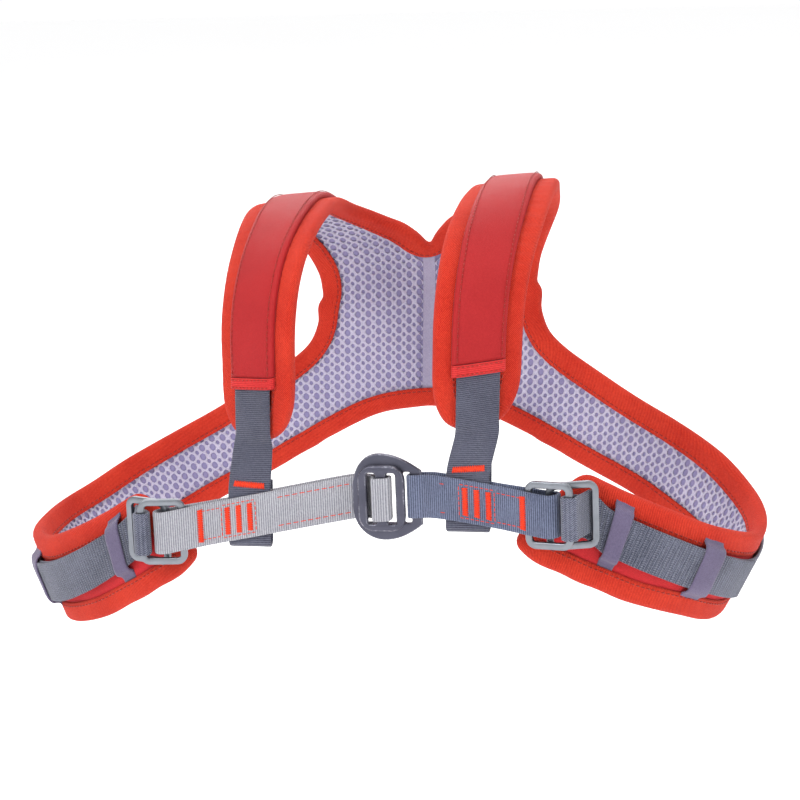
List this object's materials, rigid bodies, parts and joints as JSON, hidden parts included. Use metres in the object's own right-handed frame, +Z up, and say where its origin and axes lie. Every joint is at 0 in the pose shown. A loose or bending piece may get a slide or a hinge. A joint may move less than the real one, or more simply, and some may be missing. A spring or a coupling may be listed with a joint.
{
  "type": "climbing chest harness",
  "caption": "Climbing chest harness: padded yoke lined with open mesh, side wings, sleeved shoulder straps, ring adjusters and a chest strap with a slip-through buckle.",
  "frame": {"origin": "under the straps at the top of the shoulders, on the centre line, where the harness sits on the wearer", "axes": "+X to the right of a viewer who faces the chest, +Y to the back, +Z up"},
  "size_m": [0.4574, 0.236, 0.2678],
  "materials": {
    "shell": "woven red outer cloth over foam",
    "lining": "open spacer mesh",
    "binding": "folded twill tape",
    "sleeve": "smooth red cloth",
    "hem": "folded and stitched cloth edge",
    "webbing_grey": "flat woven polyester webbing",
    "webbing_blue": "flat woven polyester webbing",
    "webbing_silver": "ribbed polyester webbing",
    "keeper": "thin stitched tape",
    "ring": "satin, edges polished by wear",
    "buckle": "dark anodised, edges worn bright"
  },
  "bodies": {
    "root": {"pad_shell_right": "shell", "pad_shell_left": "shell", "mesh_lining_right": "lining", "mesh_lining_left": "lining", "edge_binding": "binding", "shoulder_sleeve_right": "sleeve", "shoulder_sleeve_left": "sleeve", "sleeve_hem_right": "hem", "sleeve_hem_left": "hem", "shoulder_webbing_right": "webbing_grey", "shoulder_webbing_left": "webbing_grey", "chest_webbing_left": "webbing_silver", "chest_webbing_right": "webbing_blue", "torso_webbing": "webbing_blue", "keeper_front_right": "keeper", "keeper_front_left": "keeper", "keeper_rear_right": "keeper", "keeper_rear_left": "keeper", "ring_large_right": "ring", "ring_large_left": "ring", "ring_small_right": "ring", "ring_small_left": "ring", "buckle_frame": "buckle", "buckle_toggle": "buckle"}
  },
  "joints": []
}
